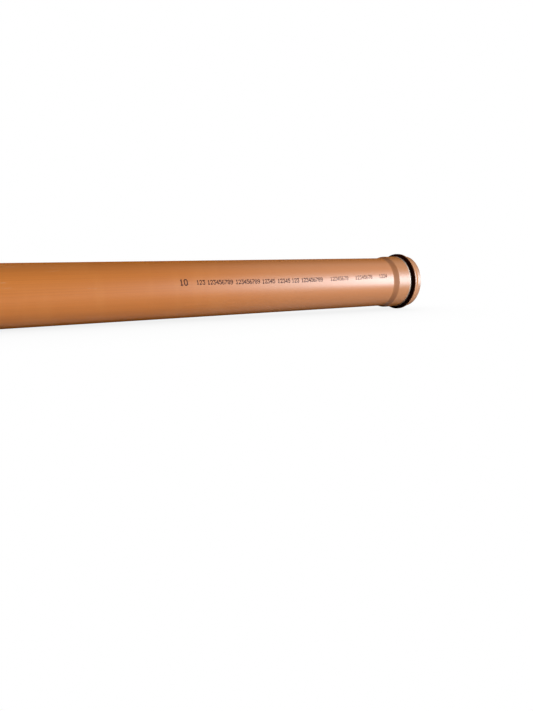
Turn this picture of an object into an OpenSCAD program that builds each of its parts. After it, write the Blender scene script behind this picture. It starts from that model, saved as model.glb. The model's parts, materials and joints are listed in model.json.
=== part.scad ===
// Gravity drain and sewer pipe: a plain barrel with a chamfered spigot on one end and, on the other,
// a socket formed from the same wall, with a bead whose groove holds a rubber lip seal.
// Millimetres. The pipe lies on a level floor as it comes to rest, along X, its socket towards +X.
// Only the bead and the spigot touch the floor, so the axis climbs about half a degree towards the
// socket. The origin is on the floor, under the middle of the length.

/* [Barrel] */
// Outside diameter of the barrel, which is the pipe's nominal size
pipe_od = 110; // [75:1:200]
// Wall thickness of the barrel
pipe_wall = 3.2; // [2.4:0.1:6]
// Laid length, from the spigot's end to the inner end of the socket's straight bore
laid_len = 1000; // [250:10:3000]
// Length of the chamfer on the spigot
chamfer_len = 6; // [3:0.5:8]
// Angle between the chamfer and the axis, in degrees
chamfer_ang = 15; // [8:1:15]

/* [Socket] */
// Radial clearance between a seated spigot and the socket's straight bore
socket_gap = 0.3; // [0.1:0.05:0.8]
// Wall thickness of the socket
socket_wall = 3; // [2.2:0.1:6]
// Length of the flare that widens the barrel into the socket
flare_len = 14; // [8:1:30]
// Radius that blends the outside of the flare into the barrel and into the socket
flare_round = 4; // [1:0.5:8]
// Length of the straight bore between the flare and the groove
bore_len = 37.5; // [25:0.5:90]

/* [Bead] */
// Depth of the seal's groove below the socket's bore
groove_depth = 6.2; // [5:0.1:10]
// Length of the groove's floor
groove_len = 5; // [4:0.5:12]
// Wall thickness over the groove
bead_wall = 2.8; // [2:0.1:5]
// Angle between the groove's rear flank and the axis, in degrees
rear_ang = 62; // [50:1:70]
// Angle between the groove's front flank and the axis, in degrees
front_ang = 32; // [25:1:45]
// Outside radius at the foot of the rear flank
foot_round = 1.5; // [0.5:0.5:2]
// Outside radius on the rear edge of the bead
crest_round = 3; // [1:0.5:4]
// Outside radius on the front edge of the bead and at the foot of its front flank
front_round = 5; // [1:0.5:6]
// Inside radius where the socket's bore turns into the groove
groove_round = 0.8; // [0.4:0.1:1.2]

/* [Mouth] */
// Length of the lip in front of the bead
lip_len = 9.5; // [5:0.5:20]
// How much wider the lip's bore is than the socket's, on the radius
lip_widening = 0.6; // [0:0.1:1.5]
// Radius on the outer edge of the mouth
mouth_round = 1; // [0.3:0.1:1.4]
// Radius on the inner edge of the mouth, which leads a spigot in
lead_in_round = 1.5; // [0.5:0.1:1.6]

/* [Seal] */
// Gap between the seal and the wall of its groove
seal_gap = 0.2; // [0.1:0.05:0.5]
// How far the seal's ring stays back from the line of the socket's bore
seal_back = 0.4; // [0.1:0.1:1.5]
// Radius on the seal's edges
seal_round = 0.8; // [0.3:0.1:1.2]

/* [Hidden] */
$fn = 96;

// Radii of the barrel and spigot
pipe_r = pipe_od / 2;
pipe_bore_r = pipe_r - pipe_wall;
spigot_r = pipe_r - chamfer_len * tan(chamfer_ang);

// Radii of the socket, groove, bead and lip
bore_r = pipe_r + socket_gap;
socket_r = bore_r + socket_wall;
groove_r = bore_r + groove_depth;
bead_r = groove_r + bead_wall;
lip_bore_r = bore_r + lip_widening;
lip_r = lip_bore_r + socket_wall;

// Inside places along the axis, from the inner end of the socket's bore
spigot_x = -laid_len;
groove_x = bore_len;
floor_x = groove_x + groove_depth / tan(rear_ang);
floor_end_x = floor_x + groove_len;
groove_end_x = floor_end_x + (groove_r - lip_bore_r) / tan(front_ang);

// Outside places: the bead lies one wall outside its groove, parallel to it
crest_x = floor_x - bead_wall * tan(rear_ang / 2);
foot_x = crest_x - (bead_r - socket_r) / tan(rear_ang);
crest_end_x = floor_end_x + bead_wall * tan(front_ang / 2);
lip_x = crest_end_x + (bead_r - lip_r) / tan(front_ang);
mouth_x = lip_x + lip_len;

// At rest the pipe lies on two circles: the edge of the spigot's chamfer and the start of the crest
edge_x = spigot_x + chamfer_len;
rest_x = crest_x + crest_round * tan(rear_ang / 2);
rest_ang = atan((bead_r - pipe_r) / (rest_x - edge_x));
rest_z = pipe_r * cos(rest_ang) - edge_x * sin(rest_ang);
middle_x = ((spigot_x + mouth_x) * cos(rest_ang) + (lip_r - mouth_round - spigot_r) * sin(rest_ang)) / 2;

// Outlines as corners of radius, place along the axis, and rounding
pipe_outline = [
    [spigot_r, spigot_x, 0],
    [pipe_r, edge_x, 0],
    [pipe_r, -flare_len, flare_round],
    [socket_r, 0, flare_round],
    [socket_r, foot_x, foot_round],
    [bead_r, crest_x, crest_round],
    [bead_r, crest_end_x, front_round],
    [lip_r, lip_x, front_round],
    [lip_r, mouth_x, mouth_round],
    [lip_bore_r, mouth_x, lead_in_round],
    [lip_bore_r, groove_end_x, 0],
    [groove_r, floor_end_x, 0],
    [groove_r, floor_x, 0],
    [bore_r, groove_x, groove_round],
    [bore_r, 0, 0],
    [pipe_bore_r, -flare_len, 0],
    [pipe_bore_r, spigot_x, 0]
];

// The seal's outline keeps one gap inside the groove's flanks and floor
seal_r = groove_r - seal_gap;
seal_bore_r = bore_r + seal_back;
seal_floor_x = floor_x + seal_gap * tan(rear_ang / 2);
seal_floor_end_x = floor_end_x - seal_gap * tan(front_ang / 2);
seal_outline = [
    [seal_bore_r, seal_floor_x - (seal_r - seal_bore_r) / tan(rear_ang), seal_round],
    [seal_r, seal_floor_x, seal_round],
    [seal_r, seal_floor_end_x, seal_round],
    [seal_bore_r, seal_floor_end_x + (seal_r - seal_bore_r) / tan(front_ang), seal_round]
];

// Draws an outline whose corners are rounded by true arcs
module rounded(outline) {
    corners = [for (p = outline) [p[0], p[1]]];
    round_at = [for (i = [0 : len(outline) - 1]) if (outline[i][2] > 0) i];
    difference() {
        union() {
            polygon(corners);
            for (i = round_at)
                if (outward(corners, i) < 0) corner_piece(corners, i, outline[i][2]);
        }
        for (i = round_at)
            if (outward(corners, i) > 0) corner_piece(corners, i, outline[i][2]);
    }
}

// Above zero where an outline's corner points outward, below zero where it points inward
function outward(corners, i) =
    let (n = len(corners), a = corners[(i + n - 1) % n], b = corners[(i + 1) % n])
    cross(corners[i] - a, b - corners[i]);

// What lies between a sharp corner and its rounding, and a little beyond the corner, so that no edge
// of this piece runs along an edge of the outline
module corner_piece(corners, i, radius) {
    n = len(corners);
    c = corners[i];
    back = unit(corners[(i + n - 1) % n] - c);
    on = unit(corners[(i + 1) % n] - c);
    half = acos(back * on) / 2;
    centre = c + unit(back + on) * radius / sin(half);
    difference() {
        polygon([c + (c - centre) * 0.2, c + back * radius / tan(half), c + on * radius / tan(half)]);
        translate(centre) circle(radius);
    }
}

function unit(v) = v / norm(v);

// Turns an outline about the pipe's axis and lays it down on the bead and the spigot's edge
module turned(outline) {
    translate([-middle_x, 0, rest_z])
        rotate([0, 90 - rest_ang, 0])
            rotate_extrude() rounded(outline);
}

// Extruded pipe, its socket formed from the hot end of the barrel
module pipe() {
    color("chocolate") turned(pipe_outline);
}

// Rubber ring that seals the joint, held in the groove
module seal_ring() {
    color("black") turned(seal_outline);
}

pipe();
seal_ring();
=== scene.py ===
import json
import math
import random

import bmesh
import bpy
from mathutils import Euler, Matrix, Vector
from mathutils.bvhtree import BVHTree


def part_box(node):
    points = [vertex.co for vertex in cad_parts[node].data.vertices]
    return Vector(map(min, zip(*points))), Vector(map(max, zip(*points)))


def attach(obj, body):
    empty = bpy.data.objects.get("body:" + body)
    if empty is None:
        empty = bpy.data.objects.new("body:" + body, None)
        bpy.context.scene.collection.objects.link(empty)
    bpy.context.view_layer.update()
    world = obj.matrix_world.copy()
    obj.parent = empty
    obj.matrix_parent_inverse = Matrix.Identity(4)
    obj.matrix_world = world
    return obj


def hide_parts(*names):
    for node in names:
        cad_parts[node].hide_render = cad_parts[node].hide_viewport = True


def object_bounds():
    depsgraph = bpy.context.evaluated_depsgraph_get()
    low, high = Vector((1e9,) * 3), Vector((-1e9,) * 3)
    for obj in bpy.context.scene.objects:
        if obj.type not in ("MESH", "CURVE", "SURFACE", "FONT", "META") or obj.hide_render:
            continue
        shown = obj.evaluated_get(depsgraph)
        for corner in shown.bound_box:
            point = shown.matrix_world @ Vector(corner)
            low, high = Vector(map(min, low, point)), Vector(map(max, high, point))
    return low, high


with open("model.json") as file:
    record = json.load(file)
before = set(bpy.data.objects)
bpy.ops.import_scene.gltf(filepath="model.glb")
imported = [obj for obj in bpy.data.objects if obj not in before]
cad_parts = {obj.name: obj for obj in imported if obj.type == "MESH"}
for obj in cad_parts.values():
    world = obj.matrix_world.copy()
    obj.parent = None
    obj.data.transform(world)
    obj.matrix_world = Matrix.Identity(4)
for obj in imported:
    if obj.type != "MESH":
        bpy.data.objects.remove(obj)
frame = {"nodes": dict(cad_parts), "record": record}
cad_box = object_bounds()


# --- Pipe ---------------------------------------------------------------------------------------
# One metre of drain pipe in orange-brown PVC-U. The barrel is extruded, and its die leaves fine
# lines along it. Its hot end is pushed over a mandrel to form the socket and the bead, which
# smooths the skin there. The other end is sawn off and chamfered on a lathe.

class Wire:
    """An output socket in a material. Sums on it add Math nodes, and node() adds any other node."""

    def __init__(self, socket):
        self.socket = socket

    def node(self, kind, settings, inputs):
        """Adds a node: its settings first, then the values or wires of its sockets, by name or order."""
        made = self.socket.id_data.nodes.new("ShaderNode" + kind)
        for name, value in settings.items():
            setattr(made, name, value)
        usable = [s for s in made.inputs if s.enabled]
        for key, value in inputs.items():
            into = usable[key] if isinstance(key, int) else next(s for s in usable if s.name == key)
            if isinstance(value, Wire):
                self.socket.id_data.links.new(value.socket, into)
            else:
                into.default_value = value
        return Wire(next(s for s in made.outputs if s.enabled))

    def output(self, name):
        """Another output of the same node."""
        return Wire(self.socket.node.outputs[name])

    def to(self, shader, name):
        self.socket.id_data.links.new(self.socket, shader.inputs[name])

    def math(self, operation, *others):
        return self.node("Math", {"operation": operation}, dict(enumerate([self, *others])))

    def vector(self, operation, *others):
        return self.node("VectorMath", {"operation": operation}, dict(enumerate([self, *others])))

    def rise(self, start, end):
        """0 at start and 1 at end, with a smooth step between; start may be the higher of the two."""
        settings = {"interpolation_type": "SMOOTHSTEP"}
        return self.node("MapRange", settings, {0: self, 1: start, 2: end, 3: 0.0, 4: 1.0})

    def mix(self, a, b):
        """The colour a where this is 0, and b where it is 1."""
        return self.node("Mix", {"data_type": "RGBA"}, {"Factor": self, "A": a, "B": b})

    def noise(self, waves, detail=2.0):
        """Noise from 0 to 1 over this vector, with so many waves a metre along each of its axes."""
        scaled = self.vector("MULTIPLY", waves)
        return self.node("TexNoise", {}, {"Vector": scaled, "Scale": 1.0, "Detail": detail})

    def __add__(self, other):
        return self.math("ADD", other)

    def __radd__(self, other):
        return self.math("ADD", other)

    def __sub__(self, other):
        return self.math("SUBTRACT", other)

    def __rsub__(self, other):
        return self * -1.0 + other

    def __mul__(self, other):
        return self.math("MULTIPLY", other)

    def __rmul__(self, other):
        return self.math("MULTIPLY", other)


def new_material(name):
    """A material, its Principled shader, and the coordinates of the object that it is on."""
    material = bpy.data.materials.new(name)
    material.use_nodes = True
    nodes = material.node_tree.nodes
    return material, nodes["Principled BSDF"], Wire(nodes.new("ShaderNodeTexCoord").outputs["Object"])


# Places along the pipe are measured in metres from the inner end of the socket's bore, its seat
mounts = {m["name"]: m for m in frame["record"]["mounts"]}
pipe_r = mounts["spigot"]["dims"]["r_mm"] / 1000
bore_len = mounts["socket"]["dims"]["length_mm"] / 1000
axis = Vector(mounts["socket"]["axis"]).normalized()
tilt = math.asin(axis.z)
seat = Vector(mounts["socket"]["pos_m"]) - axis * bore_len / 2
from_seat = Matrix.Translation(seat) @ Matrix.Rotation(-tilt, 4, "Y")
spigot_end = (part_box("pipe")[0].x - seat.x + pipe_r * math.sin(tilt)) / math.cos(tilt)
chamfer_len = 0.006
flare_len = 0.014
heat_edge = 0.004           # half the stretch over which the formed end's finish begins
sheen_start = -0.6
sheen_end = -0.22
foot = bore_len - 0.001     # where the bead's rear flank begins
crest = bore_len + 0.004    # where the flank has turned into the bead's crest


def pipe_coords(coords):
    """The same coordinates laid along the pipe: X runs along its axis, from the seat."""
    laid = {"Vector": coords, "Location": seat, "Rotation": Euler((0, -tilt, 0))}
    return coords.node("Mapping", {"vector_type": "TEXTURE"}, laid)


pvc, shader, coords = new_material("pipe_pvc")
place = pipe_coords(coords)
along = place.node("SeparateXYZ", {}, {0: place})
out = place.vector("MULTIPLY", (0, 1, 1)).vector("NORMALIZE")
skin = coords.node("NewGeometry", {}, {}).output("Normal")

# Where each finish lies, from 0 off it to 1 on it
outside = skin.vector("DOT_PRODUCT", out).output("Value").rise(-0.3, 0.3)
end_face = skin.vector("DOT_PRODUCT", tuple(axis)).output("Value").rise(-0.93, -0.98)
sheen_along = along.rise(sheen_start, sheen_end)
formed = along.rise(-flare_len - heat_edge, -flare_len + heat_edge)
flare = along.rise(-flare_len - 0.001, -flare_len + 0.005) * along.rise(0.001, -0.004) * outside
# The bead's rear flank, where shade is painted
shaded_flank = along.rise(foot - 0.0012, foot) * along.rise(crest + 0.0032, crest + 0.0010) * outside
front = along.rise(crest + 0.0014, crest + 0.0034) * outside
foot_highlight = along.rise(foot - 0.0055, foot - 0.0025) * along.rise(foot + 0.0002, foot - 0.0008) * outside
turned = along.rise(spigot_end + chamfer_len + 0.0003, spigot_end + chamfer_len - 0.0003)

# Patterns in the skin, stretched along the pipe or round it as the tool that left them ran
cloud = place.noise((2.5, 9, 9), 3.0)
die_lines = place.noise((1.5, 420, 420), 3.0)
haul_marks = place.noise((38, 11, 11), 2.0)
scuffs = place.noise((26, 310, 150), 4.0).rise(0.66, 0.74) * place.noise((7, 14, 14)).rise(0.48, 0.62)
grain = place.noise((1400, 1400, 1400), 2.0)
rings = place.noise((2600, 4, 4), 2.0)

# The plastic's colour, a painted sheen growing towards the socket, then each finish over it
plastic_deep = (0.595, 0.170, 0.020, 1)
plastic_bright = (0.65, 0.194, 0.026, 1)
die_brown = (0.53, 0.145, 0.016, 1)
rubbed_orange = (0.66, 0.212, 0.034, 1)
painted_sheen_orange = (0.61, 0.222, 0.075, 1)
socket_painted_sheen = (0.53, 0.197, 0.056, 1)
flare_painted_shade = (0.20, 0.030, 0.003, 1)
painted_highlight_white = (0.98, 0.76, 0.60, 1)
lip_painted_sheen = (0.47, 0.215, 0.105, 1)
scuff_pale = (0.66, 0.36, 0.18, 1)
speck_brown = (0.40, 0.12, 0.025, 1)
cut_pale = (0.62, 0.29, 0.11, 1)

colour = cloud.rise(0.3, 0.7).mix(plastic_deep, plastic_bright)
colour = (die_lines.rise(0.35, 0.75) * 0.5 * (1 - formed)).mix(colour, die_brown)
colour = (haul_marks.rise(0.45, 0.7) * 0.3 * (1 - formed)).mix(colour, rubbed_orange)
# Painted sheen: the outside turns paler and greyer towards the socket
colour = (sheen_along * 0.7 * outside).mix(colour, painted_sheen_orange)
# The socket is painted greyer and darker than the barrel: painted sheen and shade
colour = (formed * 0.7).mix(colour, socket_painted_sheen)
# Painted shade on the flare, the cone that faces back away from the lamps
colour = (flare * 0.28).mix(colour, flare_painted_shade)
# A painted highlight: a pale line round the foot of the bead's rear flank
colour = (foot_highlight * 0.95).mix(colour, painted_highlight_white)
# The bead's front and the lip are painted greyer and darker: painted sheen and shade
colour = (front * 0.6).mix(colour, lip_painted_sheen)
colour = (scuffs * 0.4 * outside).mix(colour, scuff_pale)
colour = (grain.rise(0.60, 0.70) * 0.18).mix(colour, speck_brown)
machined = turned * rings.rise(0.3, 0.7) * 0.5 + end_face * 0.4
colour = machined.math("MINIMUM", 0.7).mix(colour, cut_pale)
colour.to(shader, "Base Color")

rough = 0.35 + (1 - outside) * 0.2 + die_lines * 0.03 + formed * 0.03
rough = rough + scuffs * 0.2 + turned * 0.16 + end_face * 0.2
rough.to(shader, "Roughness")

height = die_lines * (1 - formed) * 0.00003 + cloud * 0.0002 + rings * (turned + end_face) * 0.00006
height = height + grain * 0.000006 - scuffs * 0.00002
bump = height.node("Bump", {}, {"Strength": 0.6, "Distance": 1.0, "Height": height})
bump.to(shader, "Normal")
shader.inputs["Specular IOR Level"].default_value = 0.55
shader.inputs["Coat Weight"].default_value = 0.3
shader.inputs["Coat Roughness"].default_value = 0.75

# The bead's rear flank is painted matt and nearly black, a painted shade for the shadow it lies in,
# and the skin's own gloss gives way to the same matt shader where it is seen edge on
painted_flank_shade = haul_marks.rise(0.3, 0.7).mix((0.026, 0.005, 0.0015, 1), (0.036, 0.008, 0.003, 1))
matt_colour = shaded_flank.mix(colour, painted_flank_shade)
dull = {"Base Color": matt_colour, "Roughness": 0.9, "Specular IOR Level": 0.0, "Normal": bump}
matt = coords.node("BsdfPrincipled", {}, dull)
glancing = coords.node("LayerWeight", {}, {"Blend": 0.5}).output("Facing").rise(0.45, 0.8)
share = shaded_flank.math("MAXIMUM", glancing)
surface = share.node("MixShader", {}, {0: share, 1: Wire(shader.outputs["BSDF"]), 2: matt})
surface.to(pvc.node_tree.nodes["Material Output"], "Surface")

pipe_mesh = frame["nodes"]["pipe"].data
pipe_mesh.materials.clear()
pipe_mesh.materials.append(pvc)


# --- Seal ring ----------------------------------------------------------------------------------
# Lip seal of black rubber, moulded in one piece. Its back fills the groove of the bead, two small
# ribs grip the groove's floor, and its lip leans into the bore, where a pushed-in spigot bends it.

seal_corners = [
    # place from the seat, radius, rounding, in millimetres
    (38.6, 56.4, 0.6),
    (41.1, 60.7, 0.5),
    (41.8, 61.3, 0.4),
    (42.6, 60.7, 0.5),
    (43.7, 60.7, 0.5),
    (44.5, 61.3, 0.4),
    (45.7, 61.2, 0.5),
    (46.9, 60.2, 0.6),
    (52.1, 57.0, 0.5),
    (52.4, 56.0, 0.4),
    (51.1, 55.8, 0.4),
    (48.7, 57.0, 0.9),
    (46.9, 56.9, 0.8),
    (41.1, 53.5, 0.5),
    (40.4, 54.2, 0.5),
    (43.7, 57.6, 0.9),
    (42.1, 58.4, 0.9),
    (39.8, 55.9, 0.4),
]


def rounded(corners, steps=4):
    """The corners of a closed outline, each rounded to its own radius."""
    points = []
    for i, (x, r, radius) in enumerate(corners):
        corner = Vector((x, r))
        back = (Vector(corners[i - 1][:2]) - corner).normalized()
        on = (Vector(corners[(i + 1) % len(corners)][:2]) - corner).normalized()
        half = back.angle(on) / 2
        centre = corner + (back + on).normalized() * radius / math.sin(half)
        start = corner + back * radius / math.tan(half) - centre
        end = corner + on * radius / math.tan(half) - centre
        points += [centre + start.slerp(end, k / steps) for k in range(steps + 1)]
    return points


def lathe(name, outline, sides=256):
    """Turns a closed outline in millimetres about the pipe's axis."""
    points = []
    for k in range(sides):
        angle = 2 * math.pi * k / sides
        for p in outline:
            r = p.y / 1000
            points.append((p.x / 1000, r * math.cos(angle), r * math.sin(angle)))
    count = len(outline)
    faces = []
    for k in range(sides):
        for i in range(count):
            here, there = k * count, (k + 1) % sides * count
            j = (i + 1) % count
            faces.append((here + i, here + j, there + j, there + i))
    mesh = bpy.data.meshes.new(name)
    mesh.from_pydata(points, [], faces)
    mesh.transform(from_seat)
    work = bmesh.new()
    work.from_mesh(mesh)
    bmesh.ops.recalc_face_normals(work, faces=work.faces)
    work.to_mesh(mesh)
    work.free()
    mesh.shade_smooth()
    piece = bpy.data.objects.new(name, mesh)
    bpy.context.scene.collection.objects.link(piece)
    return piece


lip_seal = lathe("lip_seal", rounded(seal_corners))

rubber, shader, coords = new_material("seal_rubber")
place = pipe_coords(coords)
bloom = place.noise((60, 60, 60), 3.0).rise(0.45, 0.75)
pores = place.noise((1800, 1800, 1800), 2.0)
mould_lines = place.noise((2200, 6, 6), 1.0)
(bloom * 0.35).mix((0.014, 0.014, 0.015, 1), (0.055, 0.054, 0.052, 1)).to(shader, "Base Color")
(0.52 + bloom * 0.14 + pores * 0.06).to(shader, "Roughness")
height = pores * 0.00001 + mould_lines * 0.00001
height.node("Bump", {}, {"Strength": 0.6, "Distance": 1.0, "Height": height}).to(shader, "Normal")
lip_seal.data.materials.append(rubber)
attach(lip_seal, "root")
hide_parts("seal_ring")


# --- Printed line -------------------------------------------------------------------------------
# A line of brown ink that an inkjet sets down dot by dot while the pipe is drawn past it, so it
# wanders a little round the barrel. It holds only counting rows of plain digits.

DIGITS = {
    "0": "01110 10001 10001 10001 10001 10001 01110",
    "1": "00100 01100 00100 00100 00100 00100 01110",
    "2": "01110 10001 00001 00010 00100 01000 11111",
    "3": "11111 00010 00100 00010 00001 10001 01110",
    "4": "00010 00110 01010 10010 11111 00010 00010",
    "5": "11111 10000 11110 00001 00001 10001 01110",
    "6": "00110 01000 10000 11110 10001 10001 01110",
    "7": "11111 00001 00010 00100 01000 01000 01000",
    "8": "01110 10001 10001 01110 10001 10001 01110",
    "9": "01110 10001 10001 01111 00001 00010 01100",
}
# Where each row starts, from the seat, and how many digits it counts through
counting_rows = [
    (-0.4985, 3), (-0.476, 9), (-0.416, 9), (-0.357, 5), (-0.321, 5), (-0.287, 3),
    (-0.264, 9), (-0.190, 8), (-0.123, 8), (-0.056, 4),
]
first_mark = (-0.532, "10", 1.4)  # one pair of digits stands larger, ahead of the rest
dot_gap = 0.00101                  # from column to column
dot_rise = 0.00124                 # from row to row
dot_r = 0.00086
line_middle = -0.27
line_height = math.radians(13.4)   # above the level of the axis, at the middle of the line
line_drift = math.radians(2.3)     # per metre
line_bend = math.radians(60)       # per square metre
ink_thickness = 0.00004
digit_columns = 6                  # five of dots and one left free
middle_row = 3
drop_sides = 10

pipe_corners = [v.co for v in pipe_mesh.vertices]
pipe_surface = BVHTree.FromPolygons(pipe_corners, [p.vertices for p in pipe_mesh.polygons])
chance = random.Random(7)
ink = bmesh.new()


def on_barrel(x, up):
    """The point of the barrel at x from the seat, up metres round it from the middle of the line."""
    from_middle = x - line_middle
    angle = line_height + (line_drift + line_bend * from_middle) * from_middle + up / pipe_r
    outward = from_seat.to_3x3() @ Vector((0, -math.cos(angle), math.sin(angle)))
    start = from_seat @ Vector((x, 0, 0)) + outward * 2 * pipe_r
    hit = pipe_surface.ray_cast(start, -outward)[0]
    return hit + outward * ink_thickness


def dot(x, up, size):
    """One dried drop: a thin disc draped over the barrel."""
    radius = size * dot_r * chance.uniform(0.88, 1.1)
    x += chance.uniform(-0.04, 0.04) * dot_gap
    up += chance.uniform(-0.05, 0.05) * dot_gap
    rim = []
    for k in range(drop_sides):
        angle = 2 * math.pi * k / drop_sides
        rim.append(ink.verts.new(on_barrel(x + radius * math.cos(angle), up + radius * math.sin(angle))))
    ink.faces.new(rim)


def digit(x, figure, size):
    """One figure, its left edge at x, and its middle row on the middle of the line."""
    for row, cells in enumerate(DIGITS[figure].split()):
        for column, cell in enumerate(cells):
            if cell == "1":
                dot(x + column * dot_gap * size, (middle_row - row) * dot_rise * size, size)


start, figures, size = first_mark
for i, figure in enumerate(figures):
    digit(start + i * digit_columns * dot_gap * size, figure, size)
for start, count in counting_rows:
    for i in range(count):
        digit(start + i * digit_columns * dot_gap, str((i + 1) % 10), 1.0)

ink_mesh = bpy.data.meshes.new("printed_line")
ink.to_mesh(ink_mesh)
ink.free()
printed_line = bpy.data.objects.new("printed_line", ink_mesh)
bpy.context.scene.collection.objects.link(printed_line)

ink_brown, shader, coords = new_material("ink")
patches = coords.noise((900, 900, 900), 2.0).rise(0.35, 0.7)
# The ink is painted paler on the rows next to the socket: a painted highlight
ink_highlight = coords.node("SeparateXYZ", {}, {0: coords}).rise(seat.x - 0.26, seat.x - 0.14)
colour = (patches * 0.5).mix((0.040, 0.005, 0.001, 1), (0.080, 0.013, 0.003, 1))
(ink_highlight * 0.5).mix(colour, (0.42, 0.19, 0.11, 1)).to(shader, "Base Color")
(0.5 + patches * 0.1).to(shader, "Roughness")
shader.inputs["Specular IOR Level"].default_value = 0.2
ink_mesh.materials.append(ink_brown)
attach(printed_line, "root")


# --- Floor --------------------------------------------------------------------------------------
# The studio's floor, one plain pale sheet of paper rolled out under the pipe. It shows as white,
# less the shade that the pipe lays on it.

reach = 40
floor_corners = [(-reach, -reach, 0), (reach, -reach, 0), (reach, reach, 0), (-reach, reach, 0)]
floor_mesh = bpy.data.meshes.new("floor")
floor_mesh.from_pydata(floor_corners, [], [(0, 1, 2, 3)])
floor = bpy.data.objects.new("floor", floor_mesh)
bpy.context.scene.collection.objects.link(floor)
# The front window reaches a little below the floor, as its mirror image in a glossy table does
floor.visible_shadow = False

paper, shader, coords = new_material("floor_paper")
rays = coords.node("LightPath", {}, {})
mirrored = (rays.output("Is Glossy Ray") + rays.output("Is Transmission Ray")).math("MINIMUM", 1.0)
# Only a little light comes back up from the paper to the pipe
bounced = mirrored.mix((0.15, 0.15, 0.15, 1), (0.8, 0.8, 0.8, 1))
rays.mix(bounced, (0, 0, 0, 1)).to(shader, "Base Color")
# Where the pipe covers the paper, gloss sees the whole shade and the camera a faint one
open_sky = coords.node("AmbientOcclusion", {"samples": 8}, {"Distance": 0.25}).output("AO")
glow = open_sky + rays * (1 - open_sky) * 0.85
glow = (rays + mirrored).math("MINIMUM", 1.0) * glow
glow.mix((0, 0, 0, 1), (1, 1, 1, 1)).to(shader, "Emission Color")
shader.inputs["Emission Strength"].default_value = 1.0
shader.inputs["Roughness"].default_value = 0.9
shader.inputs["Specular IOR Level"].default_value = 0.0
floor_mesh.materials.append(paper)


# --- Light --------------------------------------------------------------------------------------
# A tall window's worth of soft light low in front and to the right of the socket, a weaker one
# above it, a small lamp behind, and a little light from all round.

middle = sum(cad_box, Vector()) / 2


def softbox(name, heading, elevation, distance, width, height, watts, colour):
    """A soft lamp aimed at the pipe. Heading is from -Y towards +X, in degrees."""
    flat = Vector((math.sin(math.radians(heading)), -math.cos(math.radians(heading)), 0))
    rise = math.radians(elevation)
    way = flat * math.cos(rise) + Vector((0, 0, math.sin(rise)))
    lamp = bpy.data.objects.new(name, bpy.data.lights.new(name, "AREA"))
    lamp.data.shape = "RECTANGLE"
    lamp.data.size = width
    lamp.data.size_y = height
    lamp.data.energy = watts
    lamp.data.color = colour
    lamp.location = middle + way * distance
    lamp.rotation_euler = way.to_track_quat("Z", "Y").to_euler()
    bpy.context.scene.collection.objects.link(lamp)


softbox("front_window", 47, 7, 16.0, 2.5, 8.2, 3700, (0.84, 0.92, 1.0))
softbox("upper_window", 49, 30, 16.0, 3.0, 4.0, 230, (0.84, 0.92, 1.0))
softbox("back_fill", 200, 25, 4.0, 2.0, 2.0, 80, (1, 1, 1))

# The camera sees the room as white. Gloss sees white too, where the backdrop and the right side are
world = bpy.data.worlds.new("studio")
world.use_nodes = True
bpy.context.scene.world = world
background = world.node_tree.nodes["Background"]
background.inputs["Color"].default_value = (1, 1, 1, 1)
direction = Wire(world.node_tree.nodes.new("ShaderNodeTexCoord").outputs["Generated"])
split = direction.node("SeparateXYZ", {}, {0: direction})
backdrop = split.output("Y").rise(-0.1, 0.3) * split.output("Z").rise(0.2, 0.05)
rays = direction.node("LightPath", {}, {})
bright_side = split.output("X").rise(0.15, 0.6) * split.output("Y").rise(0.5, 0.0)
mirrored = rays.output("Is Glossy Ray") + rays.output("Is Transmission Ray")
mirrored = mirrored * backdrop.math("MAXIMUM", bright_side)
ambient = 0.12
(ambient + (rays + mirrored).math("MINIMUM", 1.0) * (1 - ambient)).to(background, "Strength")


# --- Camera -------------------------------------------------------------------------------------
# A camera held low in front of the spigot's half and turned towards the socket, so that the pipe
# runs away from it to the right.

camera = bpy.data.objects.new("camera", bpy.data.cameras.new("camera"))
bpy.context.scene.collection.objects.link(camera)
bpy.context.scene.camera = camera
camera.location = (-0.5118, -1.1211, 0.1206)
camera.rotation_euler = (math.radians(90 - 8.99), 0, math.radians(-30.598))
camera.data.lens = 31.39
bpy.context.scene.view_settings.view_transform = "Standard"
